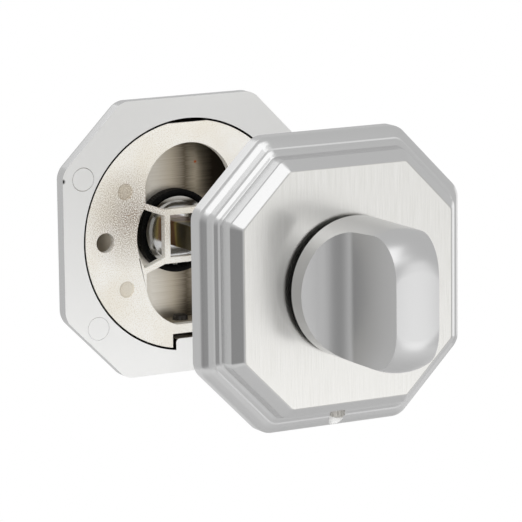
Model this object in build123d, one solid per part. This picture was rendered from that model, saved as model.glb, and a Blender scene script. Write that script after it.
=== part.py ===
# Bathroom turn and release with octagonal stepped roses.
# Millimetres. +Z is up, Y is the spindle's line, -Y is the room side with the thumb turn.
# The origin is the centre of the front rose's back face, where it meets the door.
# Each half is drawn lying on its back in a local frame: +Z points away from the door,
# +Y is up and heights are measured from the door face. It is then stood against its side
# of the door.
import math
import os

from build123d import *

os.makedirs("parts", exist_ok=True)

# Door between the roses, and how far the set adjusts to a thinner or a thicker one
door_thickness = 53.0
thinner_door_travel = 13.0

# Cover rose, an octagon that is a square with cut corners
rose_width = 55.0
rose_corner_cut = 13.0
rose_depth = 9.6
rose_corner_radius = 3.5
cover_front_wall = 2.4

# Stepped moulding of the rose, from the door edge up to the flat face
edge_height = 3.2
lower_bevel_run = 1.1
lower_bevel_rise = 1.05
lower_tread_run = 1.1
lower_tread_rise = 0.15
middle_bevel_run = 0.6
middle_bevel_rise = 0.65
upper_tread_run = 0.4
upper_tread_rise = 0.05
upper_wall_run = 0.4
upper_wall_rise = 2.4
upper_bevel_run = 1.95
outside_edge_radius = 0.4
moulding_margin = 2.0

# Mounting plate that the screws hold to the door, set in the cover's back
cover_rim_width = 4.25
plate_gap = 0.25
plate_thickness = 1.7
plate_seat_width = 2.2
plate_flat_depth = 0.3
fixing_edge_distance = 4.5
fixing_hole_radius = 1.95
dimple_radius = 1.6
dimple_depth = 0.4
dimple_offset = 14.0
dimple_height = 9.7

# Openings in the mounting plate
spindle_opening = 8.4
rib_width = 1.25
upper_window_rim = 4.65
window_width = 19.2
window_arch_margin = 0.2
window_rib_height = 7.05
side_window_radius = 11.6

# Grub screw joint between cover and plate, on the lower edge
grub_height = 4.6
grub_radius = 1.5
grub_reach = 1.0
grub_socket_width = 1.5
grub_socket_depth = 1.6
grub_recess = 0.9
thread_gap = 0.03
plate_boss_width = 8.0
plate_boss_thickness = 1.9
plate_notch_depth = 3.25
boss_gap = 1.0
cover_boss_width = 6.7
cover_boss_corner = 0.8

# Hub that turns through each cover, and the rings that hold it
hub_radius = 6.0
hub_gap = 0.05
hub_end_height = 4.5
hub_rim_width = 0.5
hub_dish_depth = 0.6
bush_sleeve_wall = 1.4
bush_flange_radius = 8.3
bush_flange_height = 5.0
bush_bore_gap = 0.06
ring_recess_radius = 7.25
ring_recess_depth = 1.45
ring_gap = 0.3
circlip_height = 5.15
circlip_thickness = 0.6
circlip_groove_depth = 0.5
circlip_groove_gap = 0.05
circlip_opening = 36.0
spring_washer_thickness = 0.25
spring_washer_bow_radius = 90.0
thrust_washer_thickness = 1.2
thrust_washer_inset = 0.9
washer_gap = 0.1

# Thumb turn
turn_radius = 13.1
turn_length = 22.7
turn_rim_thickness = 3.85
scoop_radius = 6.0
blade_root_thickness = 12.4
blade_front_thickness = 8.8
turn_front_radius = 7.0
turn_back_chamfer = 0.3

# Emergency release with its coin slot
release_radius = 10.0
release_length = 4.8
release_edge_chamfer = 0.8
coin_slot_width = 2.0
coin_slot_depth = 2.4
coin_slot_length = 16.0

# Square spindle and its sockets
spindle_width = 5.0
spindle_corner_chamfer = 0.35
socket_gap = 0.05
release_socket_depth = 8.6
spindle_front_engagement = 5.0
turn_socket_spare = 1.5
spindle_end_gap = 0.3

# Sizes of one half that follow from those above
plate_radius = rose_width / 2 - cover_rim_width - plate_gap
fixing_spacing = 2 * (plate_radius - fixing_edge_distance)
window_top = plate_radius - upper_window_rim
window_radius = window_width / 2 + window_arch_margin
base_height = rose_depth + thrust_washer_thickness + washer_gap
floor_height = rose_depth - cover_front_wall
cavity_radius = plate_radius + plate_gap - plate_seat_width
diagonal_width = (2 * rose_width - 2 * rose_corner_cut) / math.sqrt(2)
bush_radius = hub_radius + hub_gap + bush_sleeve_wall
plate_boss_height = floor_height - plate_gap
plate_notch_height = plate_radius - plate_notch_depth
lower_window_flat = plate_notch_height - plate_boss_thickness
cover_boss_height = plate_notch_height + boss_gap
turn_socket_depth = spindle_front_engagement + thinner_door_travel + turn_socket_spare


def octagon_points(inset):
    """Corners of the rose's octagon, moved in from the outer edge by inset."""
    half = rose_width / 2 - inset
    flat_end = half - rose_corner_cut + inset * (2 - math.sqrt(2))
    quarter = [(half, -flat_end), (half, flat_end), (flat_end, half), (-flat_end, half)]
    return quarter + [(-x, -y) for x, y in quarter]


def moulding_points():
    """Section of the moulding as (distance in from the edge, height) up to the face."""
    steps = [
        (0.0, edge_height),
        (lower_bevel_run, lower_bevel_rise),
        (lower_tread_run, lower_tread_rise),
        (middle_bevel_run, middle_bevel_rise),
        (upper_tread_run, upper_tread_rise),
        (upper_wall_run, upper_wall_rise),
    ]
    points = [(0.0, 0.0)]
    for run, rise in steps:
        inset, height = points[-1]
        points.append((inset + run, height + rise))
    points.append((points[-1][0] + upper_bevel_run, rose_depth))
    return points


def rounded_face(points, radii):
    """Flat shape through the points, each corner rounded with its own radius."""
    arcs = []
    ends = []
    for index, point in enumerate(points):
        corner = Vector(*point)
        back = (Vector(*points[index - 1]) - corner).normalized()
        ahead = (Vector(*points[(index + 1) % len(points)]) - corner).normalized()
        radius = radii[index]
        if radius == 0:
            ends.append((corner, corner))
            continue
        half_angle = math.radians(back.get_angle(ahead) / 2)
        run = radius / math.tan(half_angle)
        bisector = (back + ahead).normalized()
        nearest = corner + bisector * (radius / math.sin(half_angle) - radius)
        ends.append((corner + back * run, corner + ahead * run))
        arcs.append(ThreePointArc(ends[-1][0], nearest, ends[-1][1]))
    lines = [Line(ends[index - 1][1], ends[index][0]) for index in range(len(ends))]
    return make_face(arcs + lines)


def moulded_octagon():
    """Solid octagon with the stepped moulding around it, made side by side."""
    steps = moulding_points()
    depth = steps[-1][0] + moulding_margin
    section_points = steps + [(depth, rose_depth), (depth, 0.0)]
    radius = outside_edge_radius
    radii = [0, radius, radius, 0, radius, 0, radius, radius, 0, 0]
    section = rounded_face(section_points, radii)
    edge = octagon_points(0)
    middle = octagon_points(depth)
    body = extrude(make_face(Polyline(*middle, close=True)), rose_depth)
    for side in range(len(edge)):
        ahead = (side + 1) % len(edge)
        width = rose_width if side % 2 == 0 else diagonal_width
        bar = Pos(-width / 2, 0, 0) * extrude(Plane.XZ * section, rose_width, both=True)
        strip = make_face(Polyline(edge[side], edge[ahead], middle[ahead], middle[side], close=True))
        body = body + ((Rot(0, 0, 180 + 45 * side) * bar) & extrude(strip, rose_depth))
    outline = rounded_face(edge, [rose_corner_radius] * len(edge))
    return body & extrude(outline, rose_depth)


def cover_rose():
    """Octagonal cover with its stepped moulding, hollow behind for the mounting plate."""
    cover = moulded_octagon()
    boss = Pos(0, -cover_boss_height - plate_radius / 2) * Rectangle(cover_boss_width, plate_radius)
    boss = fillet(boss.vertices(), cover_boss_corner)
    seat = Circle(plate_radius + plate_gap) - boss
    cavity = Circle(cavity_radius) - boss
    cover = cover - extrude(seat, plate_thickness + plate_gap) - extrude(cavity, floor_height)
    cover = cover - extrude(Circle(bush_radius + bush_bore_gap), rose_depth)

    screw_hole = Plane.XZ * Pos(0, grub_height) * Circle(grub_radius + thread_gap)
    return cover - extrude(screw_hole, rose_width)


def window(top, flat):
    """Round-topped window above the spindle frame. flat cuts its far end straight."""
    half = window_width / 2
    frame_half = spindle_opening / 2
    centre = top - window_radius
    side_top = centre + math.sqrt(window_radius**2 - half**2)
    sill = frame_half + rib_width
    outline = Polyline(
        (-half, side_top), (-half, window_rib_height), (-sill, sill),
        (sill, sill), (half, window_rib_height), (half, side_top),
    )
    outline = outline + ThreePointArc((half, side_top), (0, top), (-half, side_top))
    opening = make_face(outline)
    return opening & (Pos(0, flat / 2) * Rectangle(2 * plate_radius, flat))


def side_window():
    """Window between the spindle frame and an arc around the spindle, on the left."""
    frame_half = spindle_opening / 2
    sill = frame_half + rib_width
    slope = (window_rib_height - sill) / (window_width / 2 - sill)
    rib_drop = rib_width * math.hypot(1, slope)
    outer = math.sqrt(side_window_radius**2 - (window_rib_height - rib_width) ** 2)
    corner_height = window_rib_height - rib_drop + slope * (outer - window_width / 2)
    outer = math.sqrt(side_window_radius**2 - corner_height**2)
    inner_height = sill - rib_drop
    outline = Polyline((-outer, corner_height), (-sill, inner_height),
                       (-sill, -inner_height), (-outer, -corner_height))
    outline = outline + ThreePointArc(
        (-outer, -corner_height), (-side_window_radius, 0), (-outer, corner_height)
    )
    return make_face(outline)


def mounting_plate():
    """Die-cast plate with its spindle frame, windows, fixing holes and grub screw boss."""
    outline = Circle(plate_radius) & (
        Pos(0, -plate_flat_depth) * Rectangle(2 * plate_radius, 2 * plate_radius)
    )
    notch = Pos(0, -plate_notch_height - plate_radius / 2) * Rectangle(plate_boss_width, plate_radius)
    outline = outline - notch - Rectangle(spindle_opening, spindle_opening)
    outline = outline - window(window_top, window_top)
    outline = outline - mirror(window(window_top, lower_window_flat), Plane.XZ)
    outline = outline - side_window() - mirror(side_window(), Plane.YZ)
    outline = outline - GridLocations(fixing_spacing, 1, 2, 1) * Circle(fixing_hole_radius)
    plate = extrude(outline, plate_thickness)

    for x in (-dimple_offset, dimple_offset):
        for y in (-dimple_height, dimple_height):
            plate = plate - extrude(Pos(x, y) * Circle(dimple_radius), dimple_depth)

    boss = Pos(0, -lower_window_flat - plate_boss_thickness / 2) * Rectangle(
        plate_boss_width, plate_boss_thickness
    )
    plate = plate + extrude(boss, plate_boss_height)
    screw_hole = Plane.XZ * Pos(0, grub_height) * Circle(grub_radius + thread_gap)
    return plate - extrude(screw_hole, plate_radius)


def grub_screw():
    """Cup-point grub screw with a hexagon socket, lying along the rose's lower edge."""
    socket_end = -rose_width / 2 + grub_recess + lower_bevel_run
    grub_length = grub_reach - lower_window_flat - socket_end
    rod = Pos(0, socket_end, grub_height) * Rot(-90, 0, 0) * Pos(0, 0, grub_length / 2)
    screw = rod * Cylinder(grub_radius, grub_length)
    screw = chamfer(screw.edges().filter_by(GeomType.CIRCLE), grub_radius / 5)
    socket = Pos(0, socket_end, grub_height) * Rot(-90, 0, 0)
    hexagon = RegularPolygon(grub_socket_width / 2, 6, major_radius=False)
    return screw - socket * extrude(hexagon, grub_socket_depth)


def hub_bush():
    """Nylon bush in the cover's bore, with a flange inside that holds the rings."""
    flange_plane = Pos(0, 0, bush_flange_height)
    flange = flange_plane * extrude(Circle(bush_flange_radius), floor_height - bush_flange_height)
    sleeve = flange_plane * extrude(Circle(bush_radius), rose_depth - bush_flange_height)
    recess = flange_plane * extrude(Circle(ring_recess_radius), ring_recess_depth)
    return flange + sleeve - recess - extrude(Circle(hub_radius + hub_gap), rose_depth)


def circlip():
    """Open retaining ring in the hub's groove."""
    outer = ring_recess_radius - ring_gap
    inner = hub_radius - circlip_groove_depth + circlip_groove_gap
    ring = Circle(outer) - Circle(inner)
    below = Vector(0, -2 * ring_recess_radius, 0)
    half_opening = circlip_opening / 2
    wedge = [(0, 0, 0), below.rotate(Axis.Z, -half_opening), below.rotate(Axis.Z, half_opening)]
    ring = ring - make_face(Polyline(*wedge, close=True))
    return Pos(0, 0, circlip_height) * extrude(ring, circlip_thickness)


def spring_washer():
    """Bowed washer between circlip and bush that takes up the end play."""
    outer = ring_recess_radius - ring_gap
    ring = Circle(outer) - Circle(hub_radius + hub_gap)
    bow_outside = spring_washer_bow_radius + spring_washer_thickness
    bow = Circle(bow_outside) - Circle(spring_washer_bow_radius)
    bow = bow & (Pos(0, bow_outside) * Rectangle(3 * outer, 3 * outer))
    shell = extrude(Plane.XZ * bow, 2 * outer, both=True)
    rise = math.sqrt(spring_washer_bow_radius**2 - outer**2)
    shell = Pos(0, 0, circlip_height + circlip_thickness - rise) * shell
    return extrude(ring, rose_depth) & shell


def thrust_washer(radius):
    """Flat nylon washer under a turning head, on the face of the rose."""
    ring = Circle(radius - thrust_washer_inset) - Circle(hub_radius + ring_gap)
    return Pos(0, 0, rose_depth) * extrude(ring, thrust_washer_thickness)


def square_socket(depth):
    """Space of a square socket that opens at the hub's end."""
    width = spindle_width + 2 * socket_gap
    return Pos(0, 0, hub_end_height) * extrude(Rectangle(width, width), depth)


def turning_hub():
    """Hub under a turning head, with its circlip groove and dished end."""
    hub = Pos(0, 0, hub_end_height) * extrude(Circle(hub_radius), base_height - hub_end_height)
    groove_ring = Circle(hub_radius) - Circle(hub_radius - circlip_groove_depth)
    groove = Pos(0, 0, circlip_height) * extrude(groove_ring, circlip_thickness)
    dish = Pos(0, 0, hub_end_height) * extrude(Circle(hub_radius - hub_rim_width), hub_dish_depth)
    return hub - groove - dish


def thumb_turn():
    """Round knob with two scoops that leave an upright blade to grip."""
    front_height = base_height + turn_length
    knob = Pos(0, 0, base_height) * extrude(Circle(turn_radius), turn_length)
    knob = fillet(knob.edges().filter_by(GeomType.CIRCLE).sort_by(Axis.Z)[-1], turn_front_radius)
    knob = chamfer(knob.edges().filter_by(GeomType.CIRCLE).sort_by(Axis.Z)[0], turn_back_chamfer)

    shelf_height = base_height + turn_rim_thickness
    root = blade_root_thickness / 2
    front = blade_front_thickness / 2
    clear = 2 * turn_radius
    shelf = Line((clear, shelf_height), (root + scoop_radius, shelf_height))
    hollow = RadiusArc(shelf @ 1, (root, shelf_height + scoop_radius), scoop_radius)
    if (hollow @ 0.5).X > root + scoop_radius / 2:
        hollow = RadiusArc(shelf @ 1, (root, shelf_height + scoop_radius), -scoop_radius)
    side = Polyline(hollow @ 1, (front, front_height), (front, 2 * front_height),
                    (clear, 2 * front_height), (clear, shelf_height))
    scoop_section = make_face(shelf + hollow + side)
    scoop = extrude(Plane.XZ * scoop_section, clear, both=True)
    knob = knob - scoop - mirror(scoop, Plane.YZ)
    return knob + turning_hub() - square_socket(turn_socket_depth)


def release_button():
    """Round head with a slot for a coin, to open the door from outside."""
    head = Pos(0, 0, base_height) * extrude(Circle(release_radius), release_length)
    front_edge = head.edges().filter_by(GeomType.CIRCLE).sort_by(Axis.Z)[-1]
    head = chamfer(front_edge, release_edge_chamfer)
    slot = SlotOverall(coin_slot_length, coin_slot_width, rotation=90)
    slot_floor = base_height + release_length - coin_slot_depth
    head = head - Pos(0, 0, slot_floor) * extrude(slot, release_length)
    return head + turning_hub() - square_socket(release_socket_depth)


def spindle():
    """Square bar from the release's socket into the thumb turn's, at its place."""
    rear_end = door_thickness + hub_end_height + release_socket_depth - spindle_end_gap
    front_end = -hub_end_height - spindle_front_engagement
    section = chamfer(Rectangle(spindle_width, spindle_width).vertices(), spindle_corner_chamfer)
    bar = extrude(Plane.XZ * section, -(rear_end - front_end))
    return Pos(0, front_end, 0) * bar


# Where each half stands, with its back face against the door
front_side = Plane(origin=(0, 0, 0), x_dir=(1, 0, 0), z_dir=(0, -1, 0)).location
rear_side = Plane(origin=(0, door_thickness, 0), x_dir=(-1, 0, 0), z_dir=(0, 1, 0)).location

for side_name, place in (("front", front_side), ("rear", rear_side)):
    head_radius = turn_radius if side_name == "front" else release_radius
    pieces = {
        "cover_rose": cover_rose(),
        "mounting_plate": mounting_plate(),
        "hub_bush": hub_bush(),
        "thrust_washer": thrust_washer(head_radius),
        "circlip": circlip(),
        "spring_washer": spring_washer(),
        "grub_screw": grub_screw(),
    }
    for piece_name, piece in pieces.items():
        export_step(place * piece, f"parts/{side_name}_{piece_name}.step")

export_step(front_side * thumb_turn(), "parts/thumb_turn.step")
export_step(rear_side * release_button(), "parts/release_button.step")
export_step(spindle(), "parts/spindle.step")
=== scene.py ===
# %% [markdown]
# A bathroom turn and release: two stepped octagonal roses, a thumb turn on one, an emergency
# release on the other and a square spindle between them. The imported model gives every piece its
# place. Here each visible piece gets its real edges and finish. Pieces are made in millimetres in
# a half's own frame: Z points away from the door and Y is up. Then they are stood on their door.

# %% Load the frame
import math

import bmesh
import bpy
from mathutils import Matrix, Vector


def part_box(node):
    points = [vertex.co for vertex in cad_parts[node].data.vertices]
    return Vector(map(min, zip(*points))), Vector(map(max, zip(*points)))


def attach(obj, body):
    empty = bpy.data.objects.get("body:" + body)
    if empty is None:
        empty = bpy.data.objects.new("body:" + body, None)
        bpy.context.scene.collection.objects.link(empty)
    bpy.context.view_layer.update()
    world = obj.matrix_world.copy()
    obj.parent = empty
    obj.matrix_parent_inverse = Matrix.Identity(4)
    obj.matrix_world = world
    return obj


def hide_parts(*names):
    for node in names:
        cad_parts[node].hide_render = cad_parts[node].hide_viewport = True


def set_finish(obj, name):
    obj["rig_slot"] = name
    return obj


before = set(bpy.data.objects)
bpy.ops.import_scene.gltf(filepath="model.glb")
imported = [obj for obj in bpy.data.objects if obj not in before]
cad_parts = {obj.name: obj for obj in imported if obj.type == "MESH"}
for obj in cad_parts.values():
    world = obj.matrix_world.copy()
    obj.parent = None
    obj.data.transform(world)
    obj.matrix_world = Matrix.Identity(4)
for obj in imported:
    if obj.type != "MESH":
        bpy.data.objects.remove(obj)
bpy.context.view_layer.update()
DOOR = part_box("rear_cover_rose")[0].y
print("nodes", len(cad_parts), "door", round(DOOR * 1000, 1), "mm")

# %% [markdown]
# Operators act on what is selected. By hand that is done with the mouse. Here each step first
# selects its own piece alone, and in edit mode it picks edges or faces by where they are, so the
# same ones are found on every run.

# %% Helpers for selecting and editing
MM = 0.001
TINY = 0.002  # lengths in millimetres that differ by less than this are the same


def near(value, target):
    """True where two lengths in millimetres are the same but for rounding."""
    return abs(value - target) < TINY


def activate(piece):
    """Makes piece the only selected object."""
    bpy.ops.object.select_all(action="DESELECT")
    piece.select_set(True)
    bpy.context.view_layer.objects.active = piece


def edit(piece):
    """Opens piece in edit mode."""
    activate(piece)
    bpy.ops.object.mode_set(mode="EDIT")


def done():
    """Leaves edit mode and returns the piece."""
    bpy.ops.object.mode_set(mode="OBJECT")
    return bpy.context.object


def pick(kind, test):
    """In edit mode, selects only the edges or faces that pass test."""
    bpy.ops.mesh.select_mode(type=kind)
    bpy.ops.mesh.select_all(action="DESELECT")
    mesh = bmesh.from_edit_mesh(bpy.context.object.data)
    for part in mesh.edges if kind == "EDGE" else mesh.faces:
        if test(part):
            part.select_set(True)
    mesh.select_flush_mode()
    bmesh.update_edit_mesh(bpy.context.object.data)


def pick_at(kind, place):
    """In edit mode, selects only the edges or faces whose corners all lie at a place."""
    pick(kind, lambda part: all(place(corner.co) for corner in part.verts))


def runs_along(edge, axis):
    """True where an edge of a box is parallel to an axis: 0 is X, 1 is Y and 2 is Z."""
    start, end = (corner.co for corner in edge.verts)
    return not near(start[axis], end[axis])


# %% [markdown]
# Everything on a lock like this is turned, cast or cut from bar, so its pieces begin as rods and
# blocks. A second rod or block that is taken away works like a drill or a milling cutter. It
# stands a little past what it cuts, because two faces in one plane make a boolean uncertain.

# %% Helpers for rods, blocks and cuts
SPARE = 1.0  # how far a cutting tool stands past what it cuts, in millimetres
SIDES = 128
WIDE_SIDES = 192
SMALL_SIDES = 48


def rod(radius, low, high, x=0.0, y=0.0, sides=SIDES):
    """Cylinder along Z from low to high."""
    bpy.ops.mesh.primitive_cylinder_add(
        vertices=sides, radius=radius, depth=high - low, location=(x, y, (low + high) / 2)
    )
    bpy.ops.object.transform_apply(location=True, rotation=True, scale=True)
    return bpy.context.object


def block(low, high):
    """Box from its low corner to its high corner."""
    middle = [(a + b) / 2 for a, b in zip(low, high)]
    size = [b - a for a, b in zip(low, high)]
    bpy.ops.mesh.primitive_cube_add(size=1, location=middle)
    bpy.context.object.scale = size
    bpy.ops.object.transform_apply(location=True, rotation=True, scale=True)
    return bpy.context.object


def combine(piece, tool, operation="DIFFERENCE"):
    """Cuts tool from piece, joins it or keeps what they share, and deletes tool."""
    modifier = piece.modifiers.new("combine", "BOOLEAN")
    modifier.operation = operation
    modifier.solver = "EXACT"
    modifier.object = tool
    activate(piece)
    bpy.ops.object.modifier_apply(modifier=modifier.name)
    bpy.data.objects.remove(tool)
    return piece


# %% [markdown]
# A finished piece is stood on its side of the door and scaled to metres, with its place kept in
# its mesh. Smooth shading stops at sharp edges. Weighted normals let the large faces lead, so a
# flat face stays flat right up to its rounded edge and doesn't look like a pillow.

# %% Helper that finishes a piece
FACE_WEIGHT = 80


def finish_piece(piece, name, side, node, body, slot, smooth=35.0):
    """Stands a piece on its side of the door in metres, smooths it and ties it to its body."""
    activate(piece)
    piece.name = piece.data.name = name
    piece.scale = (MM, MM, MM)
    if side != "world":
        piece.rotation_euler = (math.pi / 2, 0, 0 if side == "front" else math.pi)
        piece.location = (0, 0 if side == "front" else DOOR, 0)
    bpy.ops.object.transform_apply(location=True, rotation=True, scale=True)
    bpy.ops.object.shade_smooth_by_angle(angle=math.radians(smooth))
    weigh = piece.modifiers.new("weigh", "WEIGHTED_NORMAL")
    weigh.keep_sharp = True
    weigh.weight = FACE_WEIGHT
    bpy.ops.object.modifier_apply(modifier=weigh.name)
    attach(piece, body)
    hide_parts(node)
    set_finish(piece, slot)
    print(name, len(piece.data.polygons), "faces")
    return piece


# %% [markdown]
# The rose is a die-cast cover. Its moulding is a stack of outlines, like the contour lines of a
# hill: each is an octagon with its own inset, height and corner radius. A plane with its corners
# bevelled twice gives one outline, first the octagon and then the round corner, and bridging each
# outline to the next gives the moulding. Bevelling a plain octagon's edges afterwards would round
# each corner by the same amount, and on the real rose the corners get sharper towards the face.

# %% Section of the moulding
ROSE_WIDTH = 55.0
ROSE_DEPTH = 9.6
MOULDING = [  # inset, height and corner radius; the last point only gives the face's direction
    (0.0, 0.0, 0.0),
    (0.0, 3.0, 1.6),
    (1.1, 4.0, 0.9),
    (1.9, 4.42, 0.3),
    (2.25, 4.5, 0.2),
    (2.8, 5.0, 0.4),
    (3.3, 5.25, 0.3),
    (3.8, 7.7, 0.8),
    (5.55, ROSE_DEPTH, 0.7),
    (7.5, ROSE_DEPTH, 0.0),
]
CORNER_STEPS = 4


def rounded(points):
    """Points of a section with each corner rounded by the radius given with it."""
    line = []
    for index, (x, y, radius) in enumerate(points):
        if radius == 0:
            line.append((x, y))
            continue
        corner = Vector((x, y))
        back = (Vector(points[index - 1][:2]) - corner).normalized()
        ahead = (Vector(points[index + 1][:2]) - corner).normalized()
        half = back.angle(ahead) / 2
        run = radius / math.tan(half)
        centre = corner + (back + ahead).normalized() * radius / math.sin(half)
        start = corner + back * run - centre
        end = corner + ahead * run - centre
        for step in range(CORNER_STEPS + 1):
            share = step / CORNER_STEPS
            line.append(tuple(centre + (start * (1 - share) + end * share).normalized() * radius))
    return line


SECTION = rounded(MOULDING)[:-1]
print("moulding", len(SECTION), "outlines")

# %% [markdown]
# Outlines are picked by their height when they are bridged. Two of them at one height would be
# picked together, so each stands a hair, a hundred-thousandth of a millimetre, above the last.

# %% Solid cover from its outlines
CORNER_CUT = 13.0
EDGE_CORNER = 3.5
FACE_CORNER = 1.0
HAIR_APART = 1e-5
SAME_LEVEL = 4e-6


def outline(inset, height):
    """One closed outline of the moulding as edges."""
    half = ROSE_WIDTH / 2 - inset
    cut = CORNER_CUT - inset * (2 - math.sqrt(2))
    corner = EDGE_CORNER + (FACE_CORNER - EDGE_CORNER) * inset / MOULDING[-2][0]
    bpy.ops.mesh.primitive_plane_add(size=2 * half, location=(0, 0, height))
    bpy.ops.object.transform_apply(location=True, rotation=True, scale=True)
    edit(bpy.context.object)
    bpy.ops.mesh.select_all(action="SELECT")
    bpy.ops.mesh.bevel(offset=cut, affect="VERTICES", segments=1)
    bpy.ops.mesh.select_all(action="SELECT")
    bpy.ops.mesh.bevel(
        offset=corner * math.tan(math.pi / 8), affect="VERTICES", segments=6, profile=0.5
    )
    bpy.ops.mesh.select_all(action="SELECT")
    bpy.ops.mesh.delete(type="ONLY_FACE")
    return done()


def moulded_cover():
    """Solid rose with its moulding, from its outlines."""
    heights = [height + HAIR_APART * index for index, (_, height) in enumerate(SECTION)]
    rings = [outline(inset, height) for (inset, _), height in zip(SECTION, heights)]
    cover = rings[0]
    activate(cover)
    for ring in rings[1:]:
        ring.select_set(True)
    bpy.ops.object.join()
    edit(cover)
    for low, high in zip(heights, heights[1:]):
        pick_at("EDGE", lambda co: min(abs(co.z - low), abs(co.z - high)) < SAME_LEVEL)
        bpy.ops.mesh.bridge_edge_loops()
    for height in (heights[0], heights[-1]):
        pick_at("EDGE", lambda co: abs(co.z - height) < SAME_LEVEL)
        bpy.ops.mesh.edge_face_add()
    bpy.ops.mesh.select_all(action="SELECT")
    bpy.ops.mesh.normals_make_consistent(inside=False)
    return done()


# %% [markdown]
# The cover is hollow. Behind its rim lies a shallow seat for the mounting plate, then a deeper
# hollow, with a boss left standing for the grub screw, and two thin rings where the ejector pins
# of the die pushed. The tools of the hollow are joined first and cut once, because one clean cut
# leaves fewer slivers than many.

# %% Cover roses
PLATE_RADIUS = 23.0
PLATE_GAP = 0.25
PLATE_THICKNESS = 1.7
PLATE_SEAT = 2.2
FLOOR = 7.2
BOSS_TOP = 20.75
BOSS_HALF = 3.35
BOSS_CORNER = 0.8
BUSH_BORE = 7.51
GRUB_HEIGHT = 4.6
GRUB_RADIUS = 1.53
GRUB_HOLE_END = 18.5
EJECTORS = [(23.1, 12.97), (20.4, -16.85)]
EJECTOR_RADIUS = 2.35
EJECTOR_DEPTH = 0.12
EJECTOR_LINE = 0.14
EJECTOR_SIDES = 64


def grub_hole(low, high):
    """Rod along Y for the grub screw's hole, from low to high."""
    tool = rod(GRUB_RADIUS, low, high, sides=SMALL_SIDES)
    tool.rotation_euler = (-math.pi / 2, 0, 0)
    tool.location = (0, 0, GRUB_HEIGHT)
    bpy.ops.object.transform_apply(location=True, rotation=True, scale=True)
    return tool


def cover_rose(side):
    """One cover rose, finished."""
    cover = moulded_cover()
    hollow = rod(PLATE_RADIUS + PLATE_GAP, -SPARE, PLATE_THICKNESS + PLATE_GAP, sides=WIDE_SIDES)
    deep = rod(PLATE_RADIUS + PLATE_GAP - PLATE_SEAT, -SPARE / 2, FLOOR, sides=WIDE_SIDES)
    combine(hollow, deep, "UNION")
    boss = block(
        (-BOSS_HALF, -PLATE_RADIUS - 3 * SPARE, -2 * SPARE), (BOSS_HALF, -BOSS_TOP, 2 * FLOOR)
    )
    edit(boss)
    pick("EDGE", lambda edge: near(edge.verts[0].co.y, -BOSS_TOP) and runs_along(edge, 2))
    bpy.ops.mesh.bevel(offset=BOSS_CORNER, segments=5, profile=0.5)
    done()
    combine(hollow, boss)
    combine(cover, hollow)
    combine(cover, rod(BUSH_BORE, FLOOR - SPARE, ROSE_DEPTH + SPARE))
    combine(cover, grub_hole(-ROSE_WIDTH, -GRUB_HOLE_END))
    for x, y in EJECTORS:
        ring = rod(EJECTOR_RADIUS, -SPARE, EJECTOR_DEPTH, x, y, sides=EJECTOR_SIDES)
        core = rod(EJECTOR_RADIUS - EJECTOR_LINE, -2 * SPARE, SPARE, x, y, sides=EJECTOR_SIDES)
        combine(cover, combine(ring, core))
    return finish_piece(
        cover, side + "_cover", side, side + "_cover_rose", side + "_rose", "satin_chrome"
    )


covers = [cover_rose(side) for side in ("front", "rear")]

# %% [markdown]
# The mounting plate is a zinc casting with a square frame for the spindle, ribs, and windows that
# save metal. Each window is a box with its lower corners sliced off, kept only inside a round
# rod, which is how its outline reads: straight sill, slanted ribs, arched top. Bisect holds each
# number of its plane's normal between -1 and 1, which would turn a longer normal to another
# angle, so it is given a vector of length 1.

# %% Windows of the mounting plate
FRAME_HALF = 4.2
RIB = 1.25
SILL = FRAME_HALF + RIB
WINDOW_HALF = 9.6
WINDOW_RADIUS = 9.8
WINDOW_TOP = 18.35
RIB_END = 7.05
SIDE_RADIUS = 11.6
RIB_RISE = RIB_END - SILL
RIB_REACH = WINDOW_HALF - SILL


def slice_off(piece, point, normal):
    """Cuts away the side of piece that normal points to, and closes the cut."""
    edit(piece)
    bpy.ops.mesh.select_all(action="SELECT")
    direction = Vector(normal).normalized()
    bpy.ops.mesh.bisect(plane_co=point, plane_no=direction, use_fill=True, clear_outer=True)
    return done()


def window(up, far):
    """Tool for the window above the frame (up=1) or below it (up=-1), flat at far."""
    low, high = sorted((up * SILL, up * far))
    tool = block((-WINDOW_HALF, low, -SPARE), (WINDOW_HALF, high, 2 * PLATE_THICKNESS))
    for across in (-1, 1):
        normal = (across * RIB_RISE, -up * RIB_REACH, 0)
        slice_off(tool, (across * SILL, up * SILL, 0), normal)
    centre = up * (WINDOW_TOP - WINDOW_RADIUS)
    arch = rod(WINDOW_RADIUS, -2 * SPARE, 3 * PLATE_THICKNESS, y=centre)
    return combine(tool, arch, "INTERSECT")


def side_window(across):
    """Tool for the window beside the frame, inside a round rod."""
    low, high = sorted((across * SILL, across * (SIDE_RADIUS + SPARE)))
    tool = block((low, -SIDE_RADIUS, -SPARE), (high, SIDE_RADIUS, 2 * PLATE_THICKNESS))
    drop = RIB * math.hypot(RIB_RISE, RIB_REACH) / RIB_REACH
    for up in (-1, 1):
        normal = (-across * RIB_RISE, up * RIB_REACH, 0)
        slice_off(tool, (across * SILL, up * (SILL - drop), 0), normal)
    return combine(tool, rod(SIDE_RADIUS, -2 * SPARE, 3 * PLATE_THICKNESS), "INTERSECT")


print("ribs rise", round(math.degrees(math.atan2(RIB_RISE, RIB_REACH)), 1), "degrees")

# %% [markdown]
# The plate itself is a disc with a flat at its top and a notch at its bottom, where it bends
# down into a block that holds the grub screw. Holes and dimples are cut last, and then all sharp
# edges are rounded by a hair at once, as molten metal leaves them.

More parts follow.
